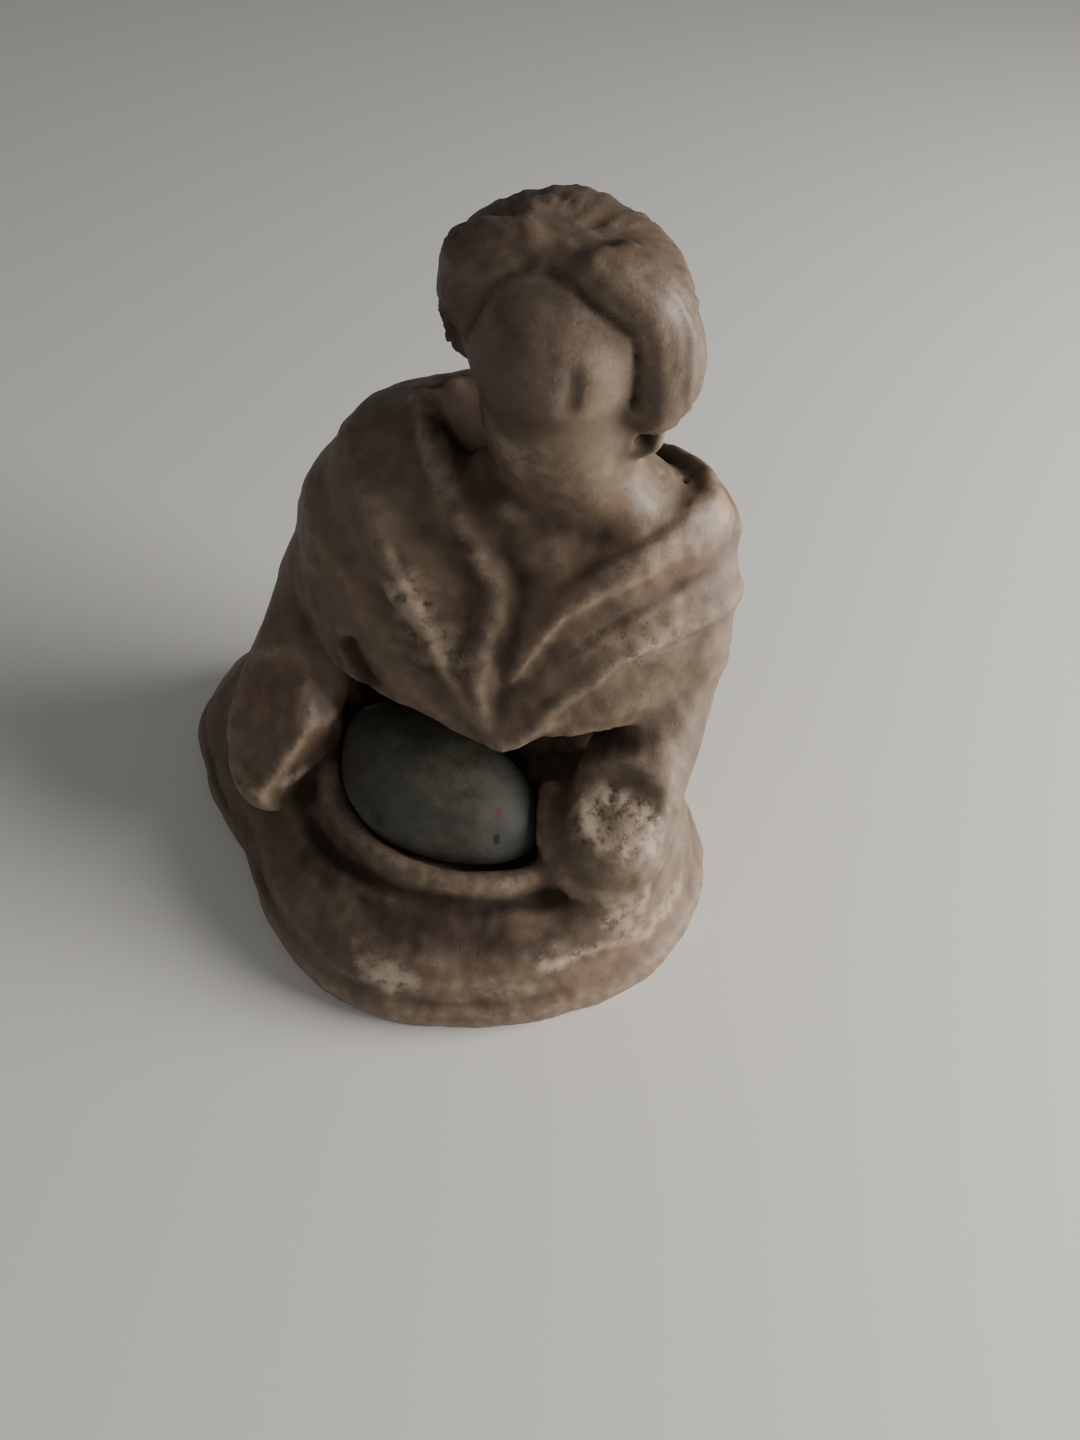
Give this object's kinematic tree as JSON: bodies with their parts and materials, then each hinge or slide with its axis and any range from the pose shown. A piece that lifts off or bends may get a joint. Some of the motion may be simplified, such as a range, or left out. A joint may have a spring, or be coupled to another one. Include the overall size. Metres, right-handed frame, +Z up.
{
  "type": "seated shawl figurine",
  "caption": "Small hand-moulded clay figurine: a seated figure with a smooth blank face, parted hair and a folded shawl, holding a loose pebble in its lap.",
  "frame": {"origin": "on the underside plane, level with the middle between the knees", "axes": "+Z up along the figure's height, figure faces -Y, +X to the right as seen from the front"},
  "size_m": [0.0746, 0.0582, 0.0864],
  "materials": {
    "clay": "matt, hand smoothed, mottled taupe brown",
    "pebble": "water-worn, faint satin, dark grey green"
  },
  "bodies": {
    "root": {"figure": "clay", "pebble": "pebble"}
  },
  "joints": []
}
